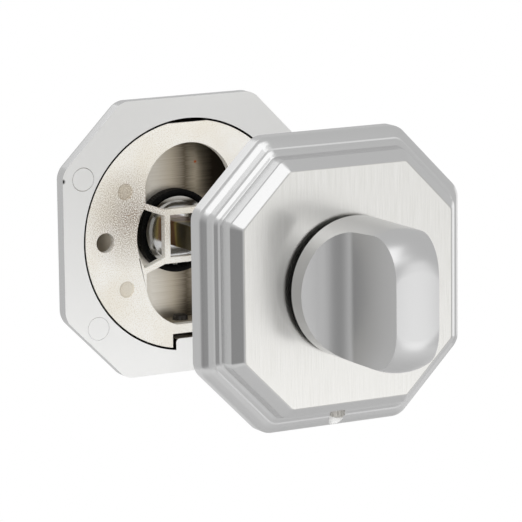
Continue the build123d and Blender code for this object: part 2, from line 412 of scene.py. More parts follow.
# %% Mounting plates
SHOWN_RADIUS = 22.85
PLATE_FLAT = 22.45
FIXING = 18.5
FIXING_RADIUS = 1.95
DIMPLE_X, DIMPLE_Y = 14.0, 9.7
DIMPLE_RADIUS = 1.6
DIMPLE_DEPTH = 0.4
LOWER_FLAT = 17.85
NOTCH_TOP = 19.75
NOTCH_HALF = 4.0
PLATE_BOSS = 6.95
CAST_EDGE = 0.14
CAST_ANGLE = 50.0
THROUGH = 9.0  # a height that is above everything on the plate


def soften(piece, width, sharp):
    """Rounds the edges of piece where its faces turn by more than an angle in degrees."""
    edit(piece)
    turn_over = math.radians(sharp)
    pick("EDGE", lambda edge: len(edge.link_faces) == 2 and edge.calc_face_angle(0) > turn_over)
    bpy.ops.mesh.bevel(offset=width, segments=2, profile=0.5, clamp_overlap=False)
    return done()


def mounting_plate(side):
    """One mounting plate, finished."""
    plate = rod(SHOWN_RADIUS, 0, PLATE_THICKNESS, sides=WIDE_SIDES)
    slice_off(plate, (0, PLATE_FLAT, 0), (0, 1, 0))
    wide = 2 * PLATE_RADIUS
    combine(plate, block((-NOTCH_HALF, -wide, -SPARE), (NOTCH_HALF, -NOTCH_TOP, THROUGH)))
    combine(plate, block((-FRAME_HALF, -FRAME_HALF, -SPARE), (FRAME_HALF, FRAME_HALF, THROUGH)))
    for tool in (window(1, wide), window(-1, LOWER_FLAT), side_window(-1), side_window(1)):
        combine(plate, tool)
    bend = block((-NOTCH_HALF, -NOTCH_TOP, 0), (NOTCH_HALF, -LOWER_FLAT, PLATE_BOSS))
    combine(plate, bend, "UNION")
    combine(plate, grub_hole(-PLATE_RADIUS, -LOWER_FLAT + 2 * SPARE))
    for across in (-1, 1):
        hole = rod(FIXING_RADIUS, -SPARE, THROUGH, across * FIXING, sides=SMALL_SIDES)
        combine(plate, hole)
    for x in (-DIMPLE_X, DIMPLE_X):
        for y in (-DIMPLE_Y, DIMPLE_Y):
            combine(plate, rod(DIMPLE_RADIUS, -SPARE, DIMPLE_DEPTH, x, y, sides=SMALL_SIDES))
    soften(plate, CAST_EDGE, CAST_ANGLE)
    return finish_piece(
        plate,
        side + "_plate",
        side,
        side + "_mounting_plate",
        side + "_rose",
        "nickel_plated_die_cast",
    )


plates = [mounting_plate(side) for side in ("front", "rear")]

# %% [markdown]
# Both heads are turned on a lathe: a rod with a rounded front edge, and behind it a hub with a
# dished end. A retaining ring sits round the hub and fills its groove, so the groove is left out
# here, and only a loop of edges marks where the ring begins.

# %% Blank and hub of a turning head
BASE = 10.9
BACK_CHAMFER = 0.3
HUB_RADIUS = 6.0
HUB_END = 4.5
HUB_RIM = 0.5
DISH = 0.6
RING_HEIGHT = 5.15


def head_blank(radius, length, front_round, steps):
    """Turned blank with a round front edge and a small chamfer behind."""
    blank = rod(radius, BASE, BASE + length, sides=WIDE_SIDES)
    edit(blank)
    pick_at("EDGE", lambda co: near(co.z, BASE + length))
    bpy.ops.mesh.bevel(offset=front_round, segments=steps, profile=0.5)
    pick_at("EDGE", lambda co: near(co.z, BASE))
    bpy.ops.mesh.bevel(offset=BACK_CHAMFER, segments=2, profile=0.5)
    return done()


def hub(front):
    """Hub behind a turning head, with its dished end."""
    piece = rod(HUB_RADIUS, HUB_END, RING_HEIGHT)
    edit(piece)
    pick_at("FACE", lambda co: near(co.z, RING_HEIGHT))
    length = front - RING_HEIGHT
    bpy.ops.mesh.extrude_region_move(TRANSFORM_OT_translate={"value": (0, 0, length)})
    pick_at("FACE", lambda co: near(co.z, HUB_END))
    bpy.ops.mesh.inset(thickness=HUB_RIM)
    bpy.ops.mesh.extrude_region_move(TRANSFORM_OT_translate={"value": (0, 0, DISH)})
    bpy.ops.mesh.select_all(action="SELECT")
    bpy.ops.mesh.normals_make_consistent(inside=False)
    return done()


# %% [markdown]
# Two scoops in the thumb turn's blank leave an upright blade to hold. The tool for a scoop is a
# block with two slices off it, a slanted floor and a wall that leans in, so the blade gets
# thinner to the front. The edge between them is bevelled into the round root. The real blade's
# front bulges slightly, which makes its highlight fade softly. No operator lowers each vertex by
# its own amount, so a short loop does that, after bisects have given the flat front its columns.

# %% Thumb turn
TURN_RADIUS = 13.1
TURN_LENGTH = 22.7
TURN_FRONT = BASE + TURN_LENGTH
FRONT_RADIUS = 7.0
FRONT_STEPS = 24
RIM = 3.85
FLOOR_SLOPE = 10.0
ROOT_RADIUS = 6.0
ROOT_STEPS = 16
ROOT_HALF = 5.9
TIP_HALF = 4.4
CROWN = 0.22
CROWN_STEP = 0.55
SOCKET_HALF = 2.55
TURN_SOCKET = 24.0
TOOL_TOP = 5.0  # how far the scoop's tool stands past the turn's front


def crown(blank):
    """Lowers the blank's front towards both sides, so it bulges a little across the blade."""
    edit(blank)
    columns = round(TIP_HALF / CROWN_STEP)
    for column in range(-columns, columns + 1):
        bpy.ops.mesh.select_all(action="SELECT")
        bpy.ops.mesh.bisect(plane_co=(column * CROWN_STEP, 0, 0), plane_no=(1, 0, 0))
    done()
    for vertex in blank.data.vertices:
        if vertex.co.z > BASE + RIM:
            vertex.co.z -= CROWN * (min(abs(vertex.co.x), ROOT_HALF) / TIP_HALF) ** 2
    return blank


def scoop(across):
    """Tool for one scoop beside the blade, on the side that across gives."""
    far = 2 * TURN_RADIUS
    slope = math.tan(math.radians(FLOOR_SLOPE))
    root = BASE + RIM + (TURN_RADIUS - ROOT_HALF) * slope
    low, high = sorted((0, across * far))
    tool = block((low, -far, BASE), (high, far, TURN_FRONT + TOOL_TOP))
    rise, lean = TURN_FRONT - root, ROOT_HALF - TIP_HALF
    slice_off(tool, (across * ROOT_HALF, 0, root), (-across * rise, 0, -lean))
    slice_off(tool, (across * ROOT_HALF, 0, root), (-across * slope, 0, -1))
    corner = math.radians(90 + FLOOR_SLOPE) + math.atan(lean / rise)
    edit(tool)
    pick_at("EDGE", lambda co: near(co.x, across * ROOT_HALF) and near(co.z, root))
    width = ROOT_RADIUS / math.tan(corner / 2)
    bpy.ops.mesh.bevel(offset=width, segments=ROOT_STEPS, profile=0.5)
    return done()


turn = crown(head_blank(TURN_RADIUS, TURN_LENGTH, FRONT_RADIUS, FRONT_STEPS))
for across in (-1, 1):
    combine(turn, scoop(across))
combine(turn, hub(BASE + SPARE), "UNION")
combine(turn, block((-SOCKET_HALF, -SOCKET_HALF, 0), (SOCKET_HALF, SOCKET_HALF, TURN_SOCKET)))
finish_piece(turn, "turn", "front", "thumb_turn", "turn", "satin_chrome_turn", smooth=30)

# %% [markdown]
# Outside the bathroom a plain round release has a slot for a coin. It is turned from the same
# kind of blank, and its hub is what shows inside the rear plate's frame. The slot's ends are
# round because an end mill cut it, so the tool's upright edges are bevelled to half its width.

# %% Release
RELEASE_RADIUS = 10.0
RELEASE_LENGTH = 4.8
RELEASE_EDGE = 0.8
RELEASE_STEPS = 4
SLOT_HALF = 1.0
SLOT_DEPTH = 2.4
SLOT_REACH = 8.0
CUTTER_TOP = 30.0  # well past the release's front
RELEASE_SOCKET = 13.1

release = head_blank(RELEASE_RADIUS, RELEASE_LENGTH, RELEASE_EDGE, RELEASE_STEPS)
slot_floor = BASE + RELEASE_LENGTH - SLOT_DEPTH
slot = block((-SLOT_HALF, -SLOT_REACH, slot_floor), (SLOT_HALF, SLOT_REACH, CUTTER_TOP))
edit(slot)
pick("EDGE", lambda edge: runs_along(edge, 2))
bpy.ops.mesh.bevel(offset=SLOT_HALF - TINY, segments=8, profile=0.5)
done()
combine(release, slot)
combine(release, hub(BASE + SPARE), "UNION")
socket = block((-SOCKET_HALF, -SOCKET_HALF, 0), (SOCKET_HALF, SOCKET_HALF, RELEASE_SOCKET))
combine(release, socket)
finish_piece(release, "release", "rear", "release_button", "release", "satin_chrome_turn")

# %% [markdown]
# The spindle is cold-drawn square bar. A box with its long edges rounded is all it needs, because
# its look comes from the yellow passivated zinc.

# %% Spindle
SPINDLE_EDGE = 0.35

spindle_low, spindle_high = (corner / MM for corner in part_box("spindle"))
spindle = block(spindle_low, spindle_high)
edit(spindle)
pick("EDGE", lambda edge: runs_along(edge, 1))
bpy.ops.mesh.bevel(offset=SPINDLE_EDGE, segments=3, profile=0.5)
done()
finish_piece(spindle, "square_spindle", "world", "spindle", "release", "yellow_zinc_plated_steel")

# %% [markdown]
# Bushes, washers, rings and grub screws are small turned, moulded and stamped pieces that already
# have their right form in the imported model, so they aren't modelled again. Its meshes are loose
# triangles, so each piece gets a copy with its doubles merged and its round faces smoothed.

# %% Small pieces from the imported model
SMALL = {
    "hub_bush": "black_nylon",
    "thrust_washer": "black_nylon",
    "spring_washer": "spring_steel",
    "circlip": "spring_steel",
    "grub_screw": "black_steel",
}
HEADS = {"front": "turn", "rear": "release"}
SAME_CORNER = 1e-7  # metres
SMALL_SMOOTH = 30

small_pieces = []
for side in ("front", "rear"):
    for kind, slot_name in SMALL.items():
        node = side + "_" + kind
        turning = kind in ("spring_washer", "circlip")
        body = HEADS[side] if turning else side + "_rose"
        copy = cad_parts[node].copy()
        copy.data = copy.data.copy()
        for key in list(copy.keys()):
            del copy[key]
        copy.parent = None
        bpy.context.scene.collection.objects.link(copy)
        copy.name = copy.data.name = node + "_smooth"
        edit(copy)
        bpy.ops.mesh.select_all(action="SELECT")
        bpy.ops.mesh.remove_doubles(threshold=SAME_CORNER)
        done()
        bpy.ops.object.shade_smooth_by_angle(angle=math.radians(SMALL_SMOOTH))
        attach(copy, body)
        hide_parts(node)
        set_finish(copy, slot_name)
        small_pieces.append(copy)
print("small pieces", len(small_pieces))

# %% [markdown]
# Colours are written as the hex values that a picture editor shows, and one function turns them
# into the linear numbers that Blender mixes with. One more function adds a shader node with its
# settings and links, so a material reads like a list. A Mix node keeps its colour sockets beside
# those for numbers and vectors, all of them under the same few names, so they are reached by
# number.

# %% Helpers for materials
FACTOR, UNDER, OVER = 0, 6, 7  # inputs of a Mix node that mixes colours
MIXED = 2  # its output


def linear(code):
    """Linear RGBA for an sRGB hex colour."""
    parts = [int(code[i : i + 2], 16) / 255 for i in (1, 3, 5)]
    return [p / 12.92 if p <= 0.04045 else ((p + 0.055) / 1.055) ** 2.4 for p in parts] + [1.0]


def add(tree, kind, settings=None, links=None):
    """Adds a node. Settings are its attributes, its inputs by name or number, or the stops of a
    colour ramp. Links name or number an input and give the socket that feeds it."""
    node = tree.nodes.new(kind)
    for key, value in (settings or {}).items():
        if key == "stops":
            elements = node.color_ramp.elements
            while len(elements) < len(value):
                elements.new(0.5)
            for element, (position, colour) in zip(elements, value):
                element.position = position
                element.color = linear(colour)
        elif isinstance(key, str) and hasattr(node, key):
            setattr(node, key, value)
        else:
            node.inputs[key].default_value = value
    for key, socket in (links or {}).items():
        tree.links.new(socket, node.inputs[key])
    return node


def material(name, colour, metallic, roughness):
    """New material with a plain shader. Returns it with its tree, shader and coordinates."""
    made = bpy.data.materials.new(name)
    made.use_nodes = True
    tree = made.node_tree
    shader = tree.nodes["Principled BSDF"]
    shader.inputs["Base Color"].default_value = linear(colour)
    shader.inputs["Metallic"].default_value = metallic
    shader.inputs["Roughness"].default_value = roughness
    place = add(tree, "ShaderNodeTexCoord").outputs["Object"]
    print("material", name)
    return made, tree, shader, place


def spot(tree, place, centre, core, edge):
    """1 inside core, falling to 0 at edge, around a centre. All in millimetres."""
    away = add(
        tree,
        "ShaderNodeVectorMath",
        {"operation": "DISTANCE", 1: Vector(centre) * MM},
        {0: place},
    )
    fall = add(
        tree,
        "ShaderNodeMapRange",
        {"From Min": core * MM, "From Max": edge * MM, "To Min": 1.0, "To Max": 0.0},
        {"Value": away.outputs["Value"]},
    )
    return fall.outputs["Result"]


# %% [markdown]
# Satin chrome is bright chrome over a surface that was brushed first. The brush leaves fine
# upright scratches on the flat face, a little duller than the metal between them, which stretch
# each highlight sideways. Real scratches are about 0.05 mm apart and too fine to show, so they
# are drawn 0.16 mm apart. The moulding and the turned heads were polished round, with no lines
# that the eye can follow, so there only the gloss is slightly uneven. The plate's seat is the same
# cast metal in deep shade, and its near-black colour stands for the gap that the light can't reach.

# %% Satin chrome
GRAIN = 0.16 * MM
SCRATCH_LENGTH = 8 * MM
POLISH_PATCH = 9 * MM
PATCH_SHARE = 0.35


def brushed(name, colour, roughness, strength, scratch_depth):
    """Metal with an uneven gloss, and with fine upright scratches where they have a depth."""
    made, tree, shader, place = material(name, colour, 1.0, roughness)
    stretch = add(
        tree,
        "ShaderNodeMapping",
        {"Scale": (1 / GRAIN, 1 / GRAIN, 1 / SCRATCH_LENGTH)},
        {"Vector": place},
    )
    scratches = add(
        tree,
        "ShaderNodeTexNoise",
        {"Scale": 1.0, "Detail": 3.0, "Roughness": 0.6},
        {"Vector": stretch.outputs["Vector"]},
    )
    cloud = add(
        tree, "ShaderNodeTexNoise", {"Scale": 1 / POLISH_PATCH, "Detail": 2.0}, {"Vector": place}
    )
    mixed = add(
        tree,
        "ShaderNodeMath",
        {"operation": "MULTIPLY_ADD", 1: PATCH_SHARE},
        {0: cloud.outputs["Fac"], 2: scratches.outputs["Fac"]},
    )
    low, high = roughness - strength, roughness + strength
    rough = add(
        tree,
        "ShaderNodeMapRange",
        {"From Min": 0.3, "From Max": 1.0, "To Min": low, "To Max": high},
        {"Value": mixed.outputs["Value"]},
    )
    tree.links.new(rough.outputs["Result"], shader.inputs["Roughness"])
    if scratch_depth:
        fac = scratches.outputs["Fac"]
        stops = [(0.35, "#E1E0DC"), (0.6, colour)]
        lines = add(tree, "ShaderNodeValToRGB", {"stops": stops}, {"Fac": fac})
        tree.links.new(lines.outputs["Color"], shader.inputs["Base Color"])
        settings = {"Strength": 0.4, "Distance": scratch_depth}
        bump = add(tree, "ShaderNodeBump", settings, {"Height": fac})
        tree.links.new(bump.outputs["Normal"], shader.inputs["Normal"])
    return made


satin_chrome = brushed("satin_chrome_brushed", "#E8E7E4", 0.21, 0.03, 0.003 * MM)
seat = brushed("nickel_seat_in_shade", "#1A1612", 0.5, 0.05, 0.0)
satin_turn = brushed("satin_chrome_turned", "#E2E2E2", 0.31, 0.015, 0.0)
satin_moulding = brushed("satin_chrome_moulding", "#E6E6E6", 0.25, 0.0, 0.0)

# %% [markdown]
# The back of the rose was never brushed. It keeps its matte cast skin under the plating, so it
# scatters light and looks pale and even from every side. Its colour is painted a trace lighter
# towards the bottom, as painted light, and a small dark chip shows at its edge.

# %% Matte back of the rose
SKIN_LINES = 2.6 / MM  # 2.6 to a millimetre, side by side
SKIN_RUNS = 0.16 / MM  # upright, so each runs for some 6 mm
BACK_REACH = 25 * MM
CHIP = (-27.45, 53.0, 12.9)

matte, tree, shader, place = material("matte_plated_back", "#E9E9E8", 0.12, 0.5)
drawn = add(
    tree, "ShaderNodeMapping", {"Scale": (SKIN_LINES, 0.0, SKIN_RUNS)}, {"Vector": place}
)
skin = add(
    tree,
    "ShaderNodeTexNoise",
    {"Scale": 1.0, "Detail": 4.0},
    {"Vector": drawn.outputs["Vector"]},
)
height = add(tree, "ShaderNodeSeparateXYZ", None, {"Vector": place})
rise = add(
    tree,
    "ShaderNodeMapRange",
    {"From Min": -BACK_REACH, "From Max": BACK_REACH},
    {"Value": height.outputs["Z"]},
)
# Painted light: the back's colour is lighter towards the bottom.
painted_light_ramp = add(
    tree,
    "ShaderNodeValToRGB",
    {"stops": [(0.0, "#F8F8F7"), (1.0, "#DEDEDD")]},
    {"Fac": rise.outputs["Result"]},
)
chipped = add(
    tree,
    "ShaderNodeMix",
    {"data_type": "RGBA", OVER: linear("#101010")},
    {FACTOR: spot(tree, place, CHIP, 0.25, 0.6), UNDER: painted_light_ramp.outputs["Color"]},
)
tree.links.new(chipped.outputs[MIXED], shader.inputs["Base Color"])
bump = add(
    tree,
    "ShaderNodeBump",
    {"Strength": 0.4, "Distance": 0.04 * MM},
    {"Height": skin.outputs["Fac"]},
)
tree.links.new(bump.outputs["Normal"], shader.inputs["Normal"])

# %% [markdown]
# The mounting plate is as cast, with a thin nickel plate. Nickel is warmer than chrome, and the
# cast skin under it is finely grained, with a faint brown stain where the bath left a film. The
# stain sits in the low grains first, so the grain decides where it shows. Two darker versions
# are painted shade, for the block behind the lower window and for the dimples, which get less
# light.

# %% Nickel-plated casting
SAND = 0.2 * MM
BATH_PATCH = 11 * MM
STAIN = (-13.0, 53.0, 4.5)
STAIN_CORE = 0.5
STAIN_REACH = 11.0


def casting(name, pale, deep):
    """Nickel over a sandy cast skin."""
    made, tree, shader, place = material(name, pale, 0.1, 0.42)
    sand = add(tree, "ShaderNodeTexNoise", {"Scale": 1 / SAND, "Detail": 4.0}, {"Vector": place})
    cloud = add(
        tree, "ShaderNodeTexNoise", {"Scale": 1 / BATH_PATCH, "Detail": 2.0}, {"Vector": place}
    )
    grains = add(
        tree,
        "ShaderNodeValToRGB",
        {"stops": [(0.3, deep), (0.52, pale)]},
        {"Fac": sand.outputs["Fac"]},
    )
    clouds = add(
        tree,
        "ShaderNodeValToRGB",
        {"stops": [(0.35, "#FFFFFF"), (0.65, "#F8F5EF")]},
        {"Fac": cloud.outputs["Fac"]},
    )
    both = add(
        tree,
        "ShaderNodeMix",
        {"data_type": "RGBA", "blend_type": "MULTIPLY", FACTOR: 1.0},
        {UNDER: grains.outputs["Color"], OVER: clouds.outputs["Color"]},
    )
    patches = add(
        tree,
        "ShaderNodeMapRange",
        {"From Min": 0.62, "From Max": 0.42, "To Min": 0.0, "To Max": 1.0},
        {"Value": sand.outputs["Fac"]},
    )
    film = add(
        tree,
        "ShaderNodeMath",
        {"operation": "MULTIPLY"},
        {0: spot(tree, place, STAIN, STAIN_CORE, STAIN_REACH), 1: patches.outputs["Result"]},
    )
    stained = add(
        tree,
        "ShaderNodeMix",
        {"data_type": "RGBA", OVER: linear("#7A5F3C")},
        {FACTOR: film.outputs["Value"], UNDER: both.outputs[MIXED]},
    )
    tree.links.new(stained.outputs[MIXED], shader.inputs["Base Color"])
    bump = add(
        tree,
        "ShaderNodeBump",
        {"Strength": 0.7, "Distance": 0.03 * MM},
        {"Height": sand.outputs["Fac"]},
    )
    tree.links.new(bump.outputs["Normal"], shader.inputs["Normal"])
    return made


nickel = casting("nickel_plated_casting", "#FFFEFA", "#DDD4C2")
# Darker copies of the nickel: painted shade on the block behind the window and in the dimples.
ledge_nickel_painted_shade = casting("nickel_painted_shade_behind_window", "#A99F8D", "#8D8270")
dimple_nickel_painted_shade = casting("nickel_painted_shade_in_dimples", "#E4DFD4", "#D2CABC")

# %% [markdown]
# Inside the rose the bright nickel was brushed sideways, and the gap between the two halves lets
# soft bands of light in. What the real hollow mirrors isn't known, so the bands, light and dark,
# are painted reflections that lie in the material, mixed from the place across the rose.
# One reddish fleck stands in the upper window.

# %% Brushed nickel inside the rose
STREAK_RUNS = 0.09 / MM  # sideways, so each runs for some 11 mm
STREAK_LINES = 3.6 / MM  # 3.6 to a millimetre, one above the other
WOBBLE = 2.5 * MM
BANDS_FROM, BANDS_TO = -12 * MM, 14 * MM
PAINTED_REFLECTION_BANDS = [
    (0.1, "#D3CBBC"),
    (0.32, "#E9E4DA"),
    (0.5, "#B5AB9A"),
    (0.62, "#5E5547"),
    (0.71, "#A59B89"),
    (0.86, "#4A4136"),
]
FLECK = (5.24, 60.2, 13.17)

inside, tree, shader, place = material("nickel_inside_cover", "#D9D2C4", 0.75, 0.33)
sideways = add(
    tree, "ShaderNodeMapping", {"Scale": (STREAK_RUNS, 0.0, STREAK_LINES)}, {"Vector": place}
)
streaks = add(
    tree,
    "ShaderNodeTexNoise",
    {"Scale": 1.0, "Detail": 3.0},
    {"Vector": sideways.outputs["Vector"]},
)
across = add(tree, "ShaderNodeSeparateXYZ", None, {"Vector": place})
wobble = add(
    tree,
    "ShaderNodeMath",
    {"operation": "MULTIPLY_ADD", 1: WOBBLE},
    {0: streaks.outputs["Fac"], 2: across.outputs["X"]},
)
share = add(
    tree,
    "ShaderNodeMapRange",
    {"From Min": BANDS_FROM, "From Max": BANDS_TO},
    {"Value": wobble.outputs["Value"]},
)
# Painted reflections: light and dark bands across the hollow.
painted_reflections = add(tree, "ShaderNodeValToRGB", {"stops": PAINTED_REFLECTION_BANDS}, {"Fac": share.outputs["Result"]})
flecked = add(
    tree,
    "ShaderNodeMix",
    {"data_type": "RGBA", OVER: linear("#B5562A")},
    {FACTOR: spot(tree, place, FLECK, 0.12, 0.4), UNDER: painted_reflections.outputs["Color"]},
)
tree.links.new(flecked.outputs[MIXED], shader.inputs["Base Color"])
bump = add(
    tree,
    "ShaderNodeBump",
    {"Strength": 0.5, "Distance": 0.01 * MM},
    {"Height": streaks.outputs["Fac"]},
)
tree.links.new(bump.outputs["Normal"], shader.inputs["Normal"])

# %% [markdown]
# Yellow passivated zinc is thin and shifts from straw to olive and a hint of red along the bar,
# so its colour is a ramp over soft blotches. They are wider than the bar and some 6 mm long, so
# they read as bands that follow each other along it.

# %% Yellow zinc
BLOTCHES_ACROSS = 0.07 / MM  # some 14 mm wide
BLOTCHES_ALONG = 0.17 / MM  # some 6 mm long
ZINC_TINTS = [
    (0.32, "#3A3216"),
    (0.44, "#6E5F27"),
    (0.52, "#A8944A"),
    (0.6, "#7A5226"),
    (0.7, "#4A2E16"),
]

zinc, tree, shader, place = material("yellow_passivated_zinc", "#B79A55", 1.0, 0.3)
along = add(
    tree,
    "ShaderNodeMapping",
    {"Scale": (BLOTCHES_ACROSS, BLOTCHES_ALONG, BLOTCHES_ACROSS)},
    {"Vector": place},
)
blotch = add(
    tree,
    "ShaderNodeTexNoise",
    {"Scale": 1.0, "Detail": 1.2},
    {"Vector": along.outputs["Vector"]},
)
tint = add(tree, "ShaderNodeValToRGB", {"stops": ZINC_TINTS}, {"Fac": blotch.outputs["Fac"]})
tree.links.new(tint.outputs["Color"], shader.inputs["Base Color"])

# %% [markdown]
# Bushes and thrust washers are moulded from black nylon, which is greasy to the touch and dull to
# the eye: almost no mirror, and a skin of fine pores.

# %% Black nylon
PORES = 0.4 * MM

nylon, tree, shader, place = material("black_moulded_nylon", "#0A0A0A", 0.0, 0.6)
shader.inputs["Specular IOR Level"].default_value = 0.12
pores = add(tree, "ShaderNodeTexNoise", {"Scale": 1 / PORES, "Detail": 2.0}, {"Vector": place})
bump = add(
    tree,
    "ShaderNodeBump",
    {"Strength": 0.3, "Distance": 0.01 * MM},
    {"Height": pores.outputs["Fac"]},
)
tree.links.new(bump.outputs["Normal"], shader.inputs["Normal"])

# %% [markdown]
# Rings and spring washers are stamped from bright spring steel, and the hub's end is turned and
# left bright, so both mirror more sharply than the satin pieces. The grub screw is plated and
# dull. Its inner end sits deep in the rose, in shade, so painted shade darkens its colour upwards.

# %% Bright steel and the grub screw
SPECKS = 0.3 * MM
SCREW_LIGHT, SCREW_DARK = -24 * MM, -21 * MM

spring_steel = brushed("spring_steel_bright", "#B9B7B2", 0.16, 0.04, 0.0)
bright_hub = brushed("turned_bright_hub", "#E2E2E2", 0.13, 0.03, 0.0)
plated_screw, tree, shader, place = material("plated_grub_screw", "#C4C1BB", 0.3, 0.38)
speck = add(tree, "ShaderNodeTexNoise", {"Scale": 1 / SPECKS}, {"Vector": place})
plated = add(
    tree,
    "ShaderNodeValToRGB",
    {"stops": [(0.4, "#BDBAB4"), (0.7, "#D6D3CD")]},
    {"Fac": speck.outputs["Fac"]},
)
height = add(tree, "ShaderNodeSeparateXYZ", None, {"Vector": place})
# Painted shade: the screw darkens towards its inner end, deep in the rose.
painted_depth_shade = add(
    tree,
    "ShaderNodeMapRange",
    {"From Min": SCREW_LIGHT, "From Max": SCREW_DARK},
    {"Value": height.outputs["Z"]},
)
screw_with_painted_shade = add(
    tree,
    "ShaderNodeMix",
    {"data_type": "RGBA", OVER: linear("#2E2B27")},
    {FACTOR: painted_depth_shade.outputs["Result"], UNDER: plated.outputs["Color"]},
)
tree.links.new(screw_with_painted_shade.outputs[MIXED], shader.inputs["Base Color"])

# %% [markdown]
# Every piece first gets the finish of its slot, all over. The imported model's own nodes get the
# same ones, so that a piece looks alike in whichever of the two forms it is shown.

# %% One finish for each piece
FINISH = {
    "satin_chrome": satin_chrome,
    "satin_chrome_turn": satin_turn,
    "nickel_plated_die_cast": nickel,
    "black_nylon": nylon,
    "spring_steel": spring_steel,
    "black_steel": plated_screw,
    "yellow_zinc_plated_steel": zinc,
}
new_pieces = covers + plates + [turn, release, spindle] + small_pieces
for piece in new_pieces:
    piece.data.materials.clear()
    piece.data.materials.append(FINISH[piece["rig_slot"]])
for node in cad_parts.values():
    for slot_data in node.material_slots:
        slot_name = slot_data.material.name.split(".")[0] if slot_data.material else ""
        if slot_name in FINISH:
            slot_data.material = FINISH[slot_name]
print("finished pieces", len(new_pieces))

# %% [markdown]
# On the real set one casting carries several finishes: the cover is brushed on its face, matte
# behind and bright inside. By hand those faces would be selected and given another material.
# Here they are found by their height over the door and their distance from a few lines, which
# stays right when a size changes.

# %% Finishes by place on plates, covers and hubs
SKIN = 0.1 * MM  # less than any step of the castings
HAIR = 0.01 * MM
ABOVE_SEAT = 2.5 * MM


def measure(face, side):
    """Height of a face over the door, and its distances from the spindle's line, from the grub
    screw's line and from the nearest dimple's line."""
    x, y, z = face.center
    back, away = (0.0, -1) if side == "front" else (DOOR, 1)
    height = (y - back) * away
    hole = math.hypot(x, height - GRUB_HEIGHT * MM)
    dimple = math.hypot(abs(x) - DIMPLE_X * MM, abs(z) - DIMPLE_Y * MM)
    return height, math.hypot(x, z), hole, dimple


def finish_by_place(piece, side, extra, choose):
    """Adds finishes to a piece, and gives each face the number of one. choose returns it."""
    for finish in extra:
        piece.data.materials.append(finish)
    counts = [0] * len(piece.data.materials)
    for face in piece.data.polygons:
        face.material_index = choose(face, *measure(face, side))
        counts[face.material_index] += 1
    print(piece.name, "faces by finish", counts)


def plate_finish(face, height, outward, hole, dimple):
    """0 nickel, 1 painted shade in a dimple, 2 painted shade on the block behind the window, 3 in
    shade.
    """
    edge = outward > PLATE_FLAT * MM - SKIN and height > CAST_EDGE * MM
    if SKIN < height < DIMPLE_DEPTH * MM + 5 * HAIR and dimple < DIMPLE_RADIUS * MM:
        return 1
    if edge and abs(face.normal.y) < 0.5:
        return 3
    if height > PLATE_THICKNESS * MM:
        return 3 if abs(hole - GRUB_RADIUS * MM) < 2 * HAIR else 2
    return 0


def cover_finish(face, height, outward, hole, dimple):
    """0 brushed face, 1 matte back, 2 inside, 3 seat in shade, 4 moulding."""
    if abs(height) < SKIN or (face.center.z < 0 and abs(hole - GRUB_RADIUS * MM) < 2 * HAIR):
        return 1
    if abs(height - (PLATE_THICKNESS + PLATE_GAP) * MM) < HAIR:
        return 3
    if outward < (PLATE_RADIUS + PLATE_GAP) * MM + HAIR and height < FLOOR * MM + HAIR:
        deep = outward < (PLATE_RADIUS + PLATE_GAP - PLATE_SEAT) * MM + HAIR
        return 2 if deep or height > ABOVE_SEAT else 3
    return 4 if height < ROSE_DEPTH * MM - 5 * HAIR else 0


def head_finish(face, height, outward, hole, dimple):
    """0 satin head, 1 bright hub."""
    return 1 if height < (BASE - TINY) * MM else 0


for side, cover, plate, head in zip(("front", "rear"), covers, plates, (turn, release)):
    finish_by_place(plate, side, (dimple_nickel_painted_shade, ledge_nickel_painted_shade, seat), plate_finish)
    finish_by_place(cover, side, (matte, inside, seat, satin_moulding), cover_finish)
    finish_by_place(head, side, (bright_hub,), head_finish)

# %% [markdown]
# The photograph was taken with a long lens from the turn's left, a little above. The camera looks
# at a point just left of the turn, and its distance and lens come from the size of the roses in
# the picture. Its three axes are worked out as vectors, so the small roll goes in without
# guessing at Euler angles.

# %% Camera
IMAGE = 522
FOCAL_PX = 3500
AZIMUTH = math.radians(-28.84)
ELEVATION = math.radians(10.5)
ROLL = math.radians(-0.65)
DISTANCE = 639.25 * MM
TARGET = Vector((-13.14, 0.0, 4.25)) * MM

backwards = Vector(
    (
        math.sin(AZIMUTH) * math.cos(ELEVATION),
        -math.cos(AZIMUTH) * math.cos(ELEVATION),
        math.sin(ELEVATION),
    )
)
right = Vector((math.cos(AZIMUTH), math.sin(AZIMUTH), 0))
up = backwards.cross(right)
axes = [
    right * math.cos(ROLL) + up * math.sin(ROLL),
    up * math.cos(ROLL) - right * math.sin(ROLL),
    backwards,
]
camera_data = bpy.data.cameras.new("camera")
camera_data.sensor_width = 36.0
camera_data.lens = FOCAL_PX * camera_data.sensor_width / IMAGE
camera_data.clip_start, camera_data.clip_end = 0.01, 20
camera = bpy.data.objects.new("camera", camera_data)
bpy.context.scene.collection.objects.link(camera)
camera.rotation_mode = "QUATERNION"
camera.location = TARGET + backwards * DISTANCE
camera.rotation_quaternion = Matrix(axes).transposed().to_quaternion()
bpy.context.scene.camera = camera
print("camera", [round(x, 3) for x in camera.location])

# %% [markdown]
# Satin metal shows its surroundings, softly, so each lamp is placed for the faces that mirror it.
# The front faces mirror two lamps at the right, the lower one brighter, which makes them lighter
# towards the bottom. One above to the left lights the slanted edges, one above the thumb turn's
# front, one far right the sides and one behind the inner walls. The fill lights only what is
# matte, because mirrors would show it as a hard patch.

